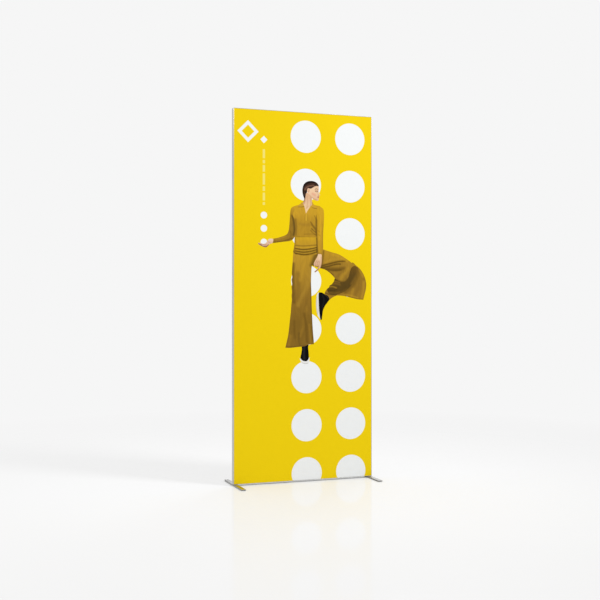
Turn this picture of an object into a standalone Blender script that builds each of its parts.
"""A free-standing banner stand: an aluminium frame over which a fabric print is stretched.

The frame is four mitred lengths of one hollow extrusion, with the uprights split at mid height.
Strips sewn to the fabric's edge press into a groove round the front. Two flat bars carry the
frame, each on one vertical screw about which the bar can be turned.

Metres. +X runs along the frame, the print faces -Y, +Z is up, and the origin lies on the floor
under the middle of the frame.
"""

from math import cos, pi, sin

import bmesh
import bpy
from mathutils import Euler, Matrix, Vector
from mathutils.geometry import tessellate_polygon

# Driving dimensions.
WIDTH = 1.000
HEIGHT = 2.500
DEPTH = 0.040
GAP = 0.0003

# The extrusion's section, measured inwards from the outer face and back from the front edge.
FACE = 0.025
LIP = 0.0022
GROOVE_WIDTH = 0.0036
GROOVE_DEPTH = 0.0115
SHOULDER = 0.0010
SIDE_CHAMBER_OUTER = 0.0073
CHAMBER_INNER = 0.0227
SIDE_CHAMBER_WALL = 0.0025
MIDDLE_CHAMBER = 0.0130
CHAMBER_WEB = 0.0018

# The fabric print and the strips along its edge.
FABRIC_THICK = 0.0006
KEDER_THICK = 0.0030

# The feet.
PAD_SIZE = (0.026, 0.020, 0.0015)
FOOT_SIZE = (0.030, 0.400, 0.0070)
FOOT_EDGE = 0.0006
PAD_INSET = 0.016
WASHER_RADIUS = 0.012
WASHER_THICK = 0.0008
FOOT_SCREW_RADIUS = 0.004
FOOT_SCREW_HEAD = 0.008
FOOT_SCREW_REACH = 0.020
FOOT_SOCKET_RADIUS = 0.0029
FOOT_SOCKET_DEPTH = 0.0026

# The joining pieces inside the frame.
BRACKET_LEG = 0.070
GRUB_PLACE = 0.050
GRUB_RADIUS = 0.0025
SPLICE_LENGTH = 0.160
SPLICE_GRUBS = (-0.060, -0.025, 0.025, 0.060)

# The crossbar between the uprights.
CROSSBAR_Z = 1.100
CROSSBAR_SIZE = (0.020, 0.030)
CROSSBAR_WALL = 0.0015
SEAT_SIZE = (0.038, 0.026, 0.070)
SEAT_THICK = 0.0025
SEAT_SCREWS = (0.042, 0.060)
SEAT_SCREW_RADIUS = 0.002
SEAT_SCREW_LENGTH = 0.009
SEAT_HEAD_RADIUS = 0.004
SEAT_HEAD_HEIGHT = 0.0024
THUMB_REACH = 0.017
THUMB_RADIUS = 0.009
THUMB_HEIGHT = 0.010
THUMB_SHAFT = 0.003
THUMB_RIDGES = 18

SEGMENTS = 24

# Heights that follow from the stack under the frame.
FOOT_BOTTOM = PAD_SIZE[2] + GAP
FOOT_TOP = FOOT_BOTTOM + FOOT_SIZE[2]
WASHER_BOTTOM = FOOT_TOP + GAP
FRAME_BOTTOM = WASHER_BOTTOM + WASHER_THICK + GAP
FRAME_TOP = FRAME_BOTTOM + HEIGHT
FRAME_MIDDLE = (FRAME_BOTTOM + FRAME_TOP) / 2
FOOT_X = WIDTH / 2 - FOOT_SIZE[0] / 2
SEAT_BOTTOM = CROSSBAR_Z - CROSSBAR_SIZE[1] / 2 - GAP - SEAT_THICK
INNER_X = WIDTH / 2 - FACE
SIDES = (("left", -1), ("right", 1))


def clear_scene():
    for obj in list(bpy.data.objects):
        bpy.data.objects.remove(obj, do_unlink=True)


def finish(name, colour, roughness, metallic):
    material = bpy.data.materials.new(name)
    material.use_nodes = True
    shader = material.node_tree.nodes["Principled BSDF"]
    shader.inputs["Base Color"].default_value = (*colour, 1.0)
    shader.inputs["Roughness"].default_value = roughness
    shader.inputs["Metallic"].default_value = metallic
    return material


def node(name, bm, material, location=(0, 0, 0), rotation=(0, 0, 0), smooth=False):
    """Makes the named object that holds one piece."""
    mesh = bpy.data.meshes.new(name)
    bm.to_mesh(mesh)
    bm.free()
    mesh.materials.append(material)
    if smooth:
        mesh.shade_smooth()
        mesh.set_sharp_from_angle(angle=pi / 6)
    obj = bpy.data.objects.new(name, mesh)
    obj.location = location
    obj.rotation_euler = rotation
    bpy.context.scene.collection.objects.link(obj)
    return obj


def section_body(loops, low, high):
    """Closes a body between two copies of a section: its outline first, then its holes.

    low and high each turn a point of the section into a point of that end.
    """
    bm = bmesh.new()
    ends = []
    for place in (low, high):
        ends.append([[bm.verts.new(place(*point)) for point in loop] for loop in loops])
    for near, far in zip(*ends):
        for i in range(len(near)):
            j = (i + 1) % len(near)
            bm.faces.new((near[i], near[j], far[j], far[i]))
    flat = [[Vector((*point, 0)) for point in loop] for loop in loops]
    for rings in ends:
        corners = [vert for ring in rings for vert in ring]
        for triangle in tessellate_polygon(flat):
            bm.faces.new([corners[i] for i in triangle])
    bmesh.ops.recalc_face_normals(bm, faces=bm.faces)
    return bm


def circle(radius, segments=SEGMENTS):
    turns = [2 * pi * i / segments for i in range(segments)]
    return [(radius * cos(turn), radius * sin(turn)) for turn in turns]


def rectangle(low, high):
    return [low, (high[0], low[1]), high, (low[0], high[1])]


def block(low, high, edge=0.0):
    """A box between two corners, with its edges eased when edge is given."""
    bm = section_body(
        [rectangle(low[:2], high[:2])],
        lambda x, y: (x, y, low[2]),
        lambda x, y: (x, y, high[2]),
    )
    if edge:
        bmesh.ops.dissolve_limit(bm, angle_limit=0.01, verts=bm.verts, edges=bm.edges)
        bmesh.ops.bevel(bm, geom=bm.edges, offset=edge, segments=2, profile=0.5, affect="EDGES")
    return bm


def turned(profile):
    """A body of revolution about Z from (radius, height) pairs, lowest first, with flat ends."""
    bm = bmesh.new()
    rings = [[bm.verts.new((x, y, height)) for x, y in circle(radius)] for radius, height in profile]
    for lower, upper in zip(rings, rings[1:]):
        for i in range(SEGMENTS):
            j = (i + 1) % SEGMENTS
            bm.faces.new((lower[i], lower[j], upper[j], upper[i]))
    bm.faces.new(rings[0])
    bm.faces.new(rings[-1])
    bmesh.ops.recalc_face_normals(bm, faces=bm.faces)
    return bm


def screw(profile, socket_radius, socket_depth):
    """A turned screw whose lower face has a hexagonal socket."""
    bm = turned(profile)
    face = min(bm.faces, key=lambda f: f.calc_center_median().z)
    rim = list(face.verts)
    bm.faces.remove(face)
    height = profile[0][1]
    mouth = [bm.verts.new((x, y, height)) for x, y in circle(socket_radius, 6)]
    floor = [bm.verts.new((x, y, height + socket_depth)) for x, y in circle(socket_radius, 6)]
    flat = [[vert.co.copy() for vert in ring] for ring in (rim, mouth)]
    corners = rim + mouth
    for triangle in tessellate_polygon(flat):
        bm.faces.new([corners[i] for i in triangle])
    for i in range(6):
        j = (i + 1) % 6
        bm.faces.new((mouth[i], mouth[j], floor[j], floor[i]))
    bm.faces.new(floor)
    bmesh.ops.recalc_face_normals(bm, faces=bm.faces)
    return bm


def bore(obj, holes):
    """Cuts turned holes out of a piece. Each is a profile, the place of its zero, and its turn."""
    cutters = bmesh.new()
    for profile, location, rotation in holes:
        tool = turned(profile)
        tool.transform(Matrix.Translation(location) @ Euler(rotation).to_matrix().to_4x4())
        mesh = bpy.data.meshes.new("hole")
        tool.to_mesh(mesh)
        tool.free()
        cutters.from_mesh(mesh)
    cutter = node("cutter", cutters, obj.data.materials[0])
    cutter.hide_render = True
    cutter.display_type = "WIRE"
    cut = obj.modifiers.new("bore", "BOOLEAN")
    cut.object = cutter
    bpy.context.view_layer.update()
    evaluated = obj.evaluated_get(bpy.context.evaluated_depsgraph_get())
    mesh = bpy.data.meshes.new_from_object(evaluated)
    obj.modifiers.clear()
    obj.data = mesh
    bpy.data.objects.remove(cutter, do_unlink=True)


def straight_hole(radius, reach):
    return [(radius + GAP, -reach), (radius + GAP, reach)]


def facing(side):
    """The turn that points a piece's +Z away from the frame's middle on that side."""
    return (0, side * pi / 2, 0)


def frame_section():
    """The extrusion's outline and its three chambers as (inwards, depth) pairs."""
    groove_end = LIP + GROOVE_WIDTH
    front = [(0, 0), (LIP, 0), (LIP, GROOVE_DEPTH), (groove_end, GROOVE_DEPTH), (groove_end, SHOULDER)]
    front.append((FACE, SHOULDER))
    back = [(inwards, DEPTH - depth) for inwards, depth in reversed(front)]
    side_end = MIDDLE_CHAMBER - CHAMBER_WEB
    chambers = [
        (SIDE_CHAMBER_OUTER, SIDE_CHAMBER_WALL, side_end),
        (LIP, MIDDLE_CHAMBER, DEPTH - MIDDLE_CHAMBER),
        (SIDE_CHAMBER_OUTER, DEPTH - side_end, DEPTH - SIDE_CHAMBER_WALL),
    ]
    return [front + back] + [rectangle((outer, a), (CHAMBER_INNER, b)) for outer, a, b in chambers]


def frame_member(name, material, length, mitres, location, turn):
    """One length of the extrusion, centred on its outer face, its mitred ends cut at 45 degrees."""

    def end(side, mitred):
        return lambda inwards, depth: (
            side * (length / 2 - GAP / 2 - (inwards if mitred else 0)),
            depth - DEPTH / 2,
            inwards,
        )

    body = section_body(frame_section(), end(-1, mitres[0]), end(1, mitres[1]))
    return node(name, body, material, location, (0, turn, 0))


def grub_screw_body():
    tip = GRUB_RADIUS * 0.7
    length = FACE - CHAMBER_INNER - GAP
    profile = [(GRUB_RADIUS, 0), (GRUB_RADIUS, length * 0.8), (tip, length)]
    return screw(profile, GRUB_RADIUS * 0.55, length * 0.5)


def build_frame(material, screw_material):
    """The four sides of the frame, bored for every screw that goes through their walls."""
    half = HEIGHT / 2
    rails = {
        "bottom": frame_member("bottom_rail", material, WIDTH, (True, True), (0, 0, FRAME_BOTTOM), 0),
        "top": frame_member("top_rail", material, WIDTH, (True, True), (0, 0, FRAME_TOP), pi),
    }
    wall = FACE - CHAMBER_INNER + 2 * GAP
    grub_hole = straight_hole(GRUB_RADIUS, wall)
    grub_x = WIDTH / 2 - GRUB_PLACE
    for level, rail in rails.items():
        inner = FRAME_BOTTOM + FACE if level == "bottom" else FRAME_TOP - FACE
        holes = [(grub_hole, (x, 0, inner), (0, 0, 0)) for x in (-grub_x, grub_x)]
        if level == "bottom":
            foot_hole = straight_hole(FOOT_SCREW_RADIUS, LIP + 2 * GAP)
            holes += [(foot_hole, (x, 0, FRAME_BOTTOM), (0, 0, 0)) for x in (-FOOT_X, FOOT_X)]
        bore(rail, holes)
        for side_name, side in SIDES:
            turn = (pi, 0, 0) if level == "bottom" else (0, 0, 0)
            place = (side * grub_x, 0, inner)
            name = f"{level}_{side_name}_rail_grub_screw"
            node(name, grub_screw_body(), screw_material, place, turn, True)

    for side_name, side in SIDES:
        turn = -side * pi / 2
        inner = side * INNER_X
        for part, middle, mitres in (
            ("lower", FRAME_BOTTOM + half / 2, (side > 0, side < 0)),
            ("upper", FRAME_TOP - half / 2, (side < 0, side > 0)),
        ):
            place = (side * WIDTH / 2, 0, middle)
            upright = frame_member(f"{side_name}_upright_{part}", material, half, mitres, place, turn)
            corner = FRAME_BOTTOM + GRUB_PLACE if part == "lower" else FRAME_TOP - GRUB_PLACE
            splices = [z for z in SPLICE_GRUBS if (z < 0) == (part == "lower")]
            heights = [corner] + [FRAME_MIDDLE + z for z in splices]
            names = [f"{side_name}_{part}_corner_grub_screw"]
            names += [f"{side_name}_{part}_splice_grub_screw_{i + 1}" for i in range(len(splices))]
            holes = [(grub_hole, (inner, 0, z), facing(side)) for z in heights]
            if part == "lower":
                seat_hole = straight_hole(SEAT_SCREW_RADIUS, wall)
                holes += [(seat_hole, (inner, 0, SEAT_BOTTOM + z), facing(side)) for z in SEAT_SCREWS]
            bore(upright, holes)
            for name, z in zip(names, heights):
                node(name, grub_screw_body(), screw_material, (inner, 0, z), facing(side), True)


def build_corner_brackets(material):
    """An L-shaped bar in the middle chamber of each corner, bored at the bottom for the foot screw."""
    near = LIP + GAP
    far = CHAMBER_INNER - GAP
    half_depth = DEPTH / 2 - MIDDLE_CHAMBER - GAP
    outline = [(near, near), (BRACKET_LEG, near), (BRACKET_LEG, far)]
    outline += [(far, far), (far, BRACKET_LEG), (near, BRACKET_LEG)]
    for side_name, side in SIDES:
        for level, base, rise in (("bottom", FRAME_BOTTOM, 1), ("top", FRAME_TOP, -1)):

            def at(y):
                return lambda x, z: (side * (WIDTH / 2 - x), y, base + rise * z)

            body = section_body([outline], at(-half_depth), at(half_depth))
            bracket = node(f"{level}_{side_name}_corner_bracket", body, material)
            if level == "bottom":
                hole = straight_hole(FOOT_SCREW_RADIUS, FOOT_SCREW_REACH + 2 * GAP)
                bore(bracket, [(hole, (side * FOOT_X, 0, FRAME_BOTTOM), (0, 0, 0))])


def build_splices(material):
    """A bar inside each upright that joins its two halves."""
    half_depth = DEPTH / 2 - MIDDLE_CHAMBER - GAP
    near = WIDTH / 2 - LIP - GAP
    far = WIDTH / 2 - CHAMBER_INNER + GAP
    for side_name, side in SIDES:
        low, high = sorted((side * near, side * far))
        z = (FRAME_MIDDLE - SPLICE_LENGTH / 2, FRAME_MIDDLE + SPLICE_LENGTH / 2)
        node(f"{side_name}_splice_bar", block((low, -half_depth, z[0]), (high, half_depth, z[1])), material)


def build_crossbar(material, bracket_material, screw_material):
    """A rectangular tube across the middle, seated on an angle at each end and held by thumb screws."""
    deep, tall = CROSSBAR_SIZE
    reach = INNER_X - SEAT_THICK - 2 * GAP
    outer = rectangle((-deep / 2, -tall / 2), (deep / 2, tall / 2))
    inner = rectangle(
        (CROSSBAR_WALL - deep / 2, CROSSBAR_WALL - tall / 2),
        (deep / 2 - CROSSBAR_WALL, tall / 2 - CROSSBAR_WALL),
    )
    tube = section_body([outer, inner], lambda y, z: (-reach, y, z), lambda y, z: (reach, y, z))
    crossbar = node("crossbar", tube, material, (0, 0, CROSSBAR_Z))
    thumb_hole = straight_hole(THUMB_SHAFT, SEAT_THICK + CROSSBAR_WALL)
    thumb_x = reach - THUMB_REACH
    hole_z = SEAT_BOTTOM + SEAT_THICK
    bore(crossbar, [(thumb_hole, (x, 0, hole_z), (0, 0, 0)) for x in (-thumb_x, thumb_x)])
    seat_hole = straight_hole(SEAT_SCREW_RADIUS, SEAT_THICK * 2)
    for side_name, side in SIDES:
        seat = node(f"{side_name}_crossbar_seat", crossbar_seat_body(side), bracket_material)
        plate_x = side * (INNER_X - GAP - SEAT_THICK)
        holes = [(thumb_hole, (side * thumb_x, 0, hole_z), (0, 0, 0))]
        holes += [(seat_hole, (plate_x, 0, SEAT_BOTTOM + z), facing(side)) for z in SEAT_SCREWS]
        bore(seat, holes)
        for i, z in enumerate(SEAT_SCREWS):
            place = (plate_x, 0, SEAT_BOTTOM + z)
            name = f"{side_name}_crossbar_seat_screw_{i + 1}"
            node(name, seat_screw_body(), screw_material, place, facing(side), True)
        place = (side * thumb_x, 0, SEAT_BOTTOM - GAP)
        node(f"{side_name}_crossbar_thumb_screw", thumb_screw_body(), screw_material, place, smooth=True)


def crossbar_seat_body(side):
    """An angle whose upright leg lies on the frame and whose shelf carries the crossbar."""
    length, wide, tall = SEAT_SIZE
    outline = [(0, 0), (length, 0), (length, SEAT_THICK)]
    outline += [(SEAT_THICK, SEAT_THICK), (SEAT_THICK, tall), (0, tall)]

    def at(y):
        return lambda x, z: (side * (INNER_X - GAP - x), y, SEAT_BOTTOM + z)

    return section_body([outline], at(-wide / 2), at(wide / 2))


def seat_screw_body():
    """A pan-head screw: its head lies below zero, against the seat, and its shank goes up."""
    profile = [
        (SEAT_HEAD_RADIUS * 0.8, -SEAT_HEAD_HEIGHT - GAP),
        (SEAT_HEAD_RADIUS, -SEAT_HEAD_HEIGHT * 0.6),
        (SEAT_HEAD_RADIUS, -GAP),
        (SEAT_SCREW_RADIUS, -GAP),
        (SEAT_SCREW_RADIUS, SEAT_SCREW_LENGTH - 0.001),
        (SEAT_SCREW_RADIUS * 0.7, SEAT_SCREW_LENGTH),
    ]
    return screw(profile, SEAT_HEAD_RADIUS * 0.4, SEAT_HEAD_HEIGHT * 0.5)


def thumb_screw_body():
    """A ridged head under the seat and a plain shank up into the crossbar, turning about Z."""
    count = THUMB_RIDGES * 4
    ridge = [1.0, 1.0, 0.93, 0.93]

    def ring(scale, height):
        return [
            (
                THUMB_RADIUS * scale * ridge[i % 4] * cos(2 * pi * i / count),
                THUMB_RADIUS * scale * ridge[i % 4] * sin(2 * pi * i / count),
                height,
            )
            for i in range(count)
        ]

    shank_top = SEAT_THICK + CROSSBAR_WALL + 0.012
    ease = 0.0012
    heights = ((0.86, -THUMB_HEIGHT), (1.0, ease - THUMB_HEIGHT), (1.0, -ease), (0.86, 0))
    levels = [ring(scale, height) for scale, height in heights]
    bm = bmesh.new()
    rings = [[bm.verts.new(point) for point in level] for level in levels]
    for lower, upper in zip(rings, rings[1:]):
        for i in range(count):
            j = (i + 1) % count
            bm.faces.new((lower[i], lower[j], upper[j], upper[i]))
    bm.faces.new(rings[0])
    shank = [[bm.verts.new((x, y, z)) for x, y in circle(THUMB_SHAFT)] for z in (0, shank_top)]
    for i in range(SEGMENTS):
        j = (i + 1) % SEGMENTS
        bm.faces.new((shank[0][i], shank[0][j], shank[1][j], shank[1][i]))
    bm.faces.new(shank[1])
    corners = rings[-1] + shank[0]
    flat = [[vert.co.copy() for vert in loop] for loop in (rings[-1], shank[0])]
    for triangle in tessellate_polygon(flat):
        bm.faces.new([corners[i] for i in triangle])
    bmesh.ops.recalc_face_normals(bm, faces=bm.faces)
    return bm


def build_fabric(fabric_material, keder_material):
    """The print, one flat sheet inside the frame's lip, and the edge strips behind it."""
    edge_x = WIDTH / 2 - LIP - GAP
    low_z = FRAME_BOTTOM + LIP + GAP
    high_z = FRAME_TOP - LIP - GAP
    back = SHOULDER - DEPTH / 2 - GAP
    sheet = block((-edge_x, back - FABRIC_THICK, low_z), (edge_x, back, high_z))
    node("fabric_print", sheet, fabric_material)
    strip_front = back + GAP
    strip_back = GROOVE_DEPTH - DEPTH / 2 - GAP
    for name, base in (("bottom", low_z), ("top", high_z - KEDER_THICK)):
        low = (-edge_x, strip_front, base)
        high = (edge_x, strip_back, base + KEDER_THICK)
        node(f"{name}_keder_strip", block(low, high), keder_material)
    clear = KEDER_THICK + GAP
    for name, side in SIDES:
        ends = sorted((side * edge_x, side * (edge_x - KEDER_THICK)))
        low = (ends[0], strip_front, low_z + clear)
        high = (ends[1], strip_back, high_z - clear)
        node(f"{name}_keder_strip", block(low, high), keder_material)


def build_feet(bar_material, washer_material, pad_material, screw_material):
    """Each foot is a flat bar on rubber pads, hung on one countersunk screw that it turns about."""
    wide, long, thick = FOOT_SIZE
    head_start = FOOT_BOTTOM + GAP
    cone = FOOT_SCREW_HEAD - FOOT_SCREW_RADIUS
    rim = 0.0004
    screw_top = FRAME_BOTTOM + FOOT_SCREW_REACH - head_start
    profile = [(FOOT_SCREW_HEAD, 0), (FOOT_SCREW_HEAD, rim), (FOOT_SCREW_RADIUS, rim + cone)]
    profile += [(FOOT_SCREW_RADIUS, screw_top - 0.001), (FOOT_SCREW_RADIUS * 0.8, screw_top)]
    head_hole = FOOT_SCREW_HEAD + GAP
    shank_hole = FOOT_SCREW_RADIUS + GAP
    countersink = [(head_hole, -0.002), (head_hole, rim), (shank_hole, rim + cone), (shank_hole, 2 * thick)]
    for side_name, side in SIDES:
        x = side * FOOT_X
        bar_body = block((-wide / 2, -long / 2, 0), (wide / 2, long / 2, thick), FOOT_EDGE)
        bar = node(f"{side_name}_foot_bar", bar_body, bar_material, (x, 0, FOOT_BOTTOM))
        bore(bar, [(countersink, (x, 0, head_start), (0, 0, 0))])
        foot_screw = screw(profile, FOOT_SOCKET_RADIUS, FOOT_SOCKET_DEPTH)
        node(f"{side_name}_foot_screw", foot_screw, screw_material, (x, 0, head_start), smooth=True)
        ring = [circle(WASHER_RADIUS), circle(FOOT_SCREW_RADIUS + GAP)]
        washer = section_body(ring, lambda u, v: (u, v, 0), lambda u, v: (u, v, WASHER_THICK))
        node(f"{side_name}_foot_washer", washer, washer_material, (x, 0, WASHER_BOTTOM), smooth=True)
        for end_name, end in (("front", -1), ("back", 1)):
            y = end * (long / 2 - PAD_INSET)
            low = (-PAD_SIZE[0] / 2, -PAD_SIZE[1] / 2, 0)
            high = (PAD_SIZE[0] / 2, PAD_SIZE[1] / 2, PAD_SIZE[2])
            pad = node(f"{side_name}_foot_pad_{end_name}", block(low, high), pad_material)
            pad.parent = bar
            pad.location = (0, y, -FOOT_BOTTOM)


def build():
    clear_scene()
    aluminium = finish("anodised aluminium", (0.62, 0.61, 0.57), 0.35, 1.0)
    steel = finish("zinc-plated steel", (0.60, 0.61, 0.62), 0.3, 1.0)
    bar_steel = finish("brushed steel bar", (0.66, 0.64, 0.60), 0.25, 1.0)
    print_fabric = finish("printed polyester", (0.92, 0.64, 0.01), 0.9, 0.0)
    silicone = finish("clear silicone", (0.80, 0.80, 0.78), 0.5, 0.0)
    nylon = finish("nylon", (0.85, 0.84, 0.80), 0.5, 0.0)
    rubber = finish("rubber", (0.03, 0.03, 0.03), 0.8, 0.0)
    build_frame(aluminium, steel)
    build_corner_brackets(steel)
    build_splices(steel)
    build_crossbar(aluminium, aluminium, steel)
    build_fabric(print_fabric, silicone)
    build_feet(bar_steel, nylon, rubber, steel)


build()
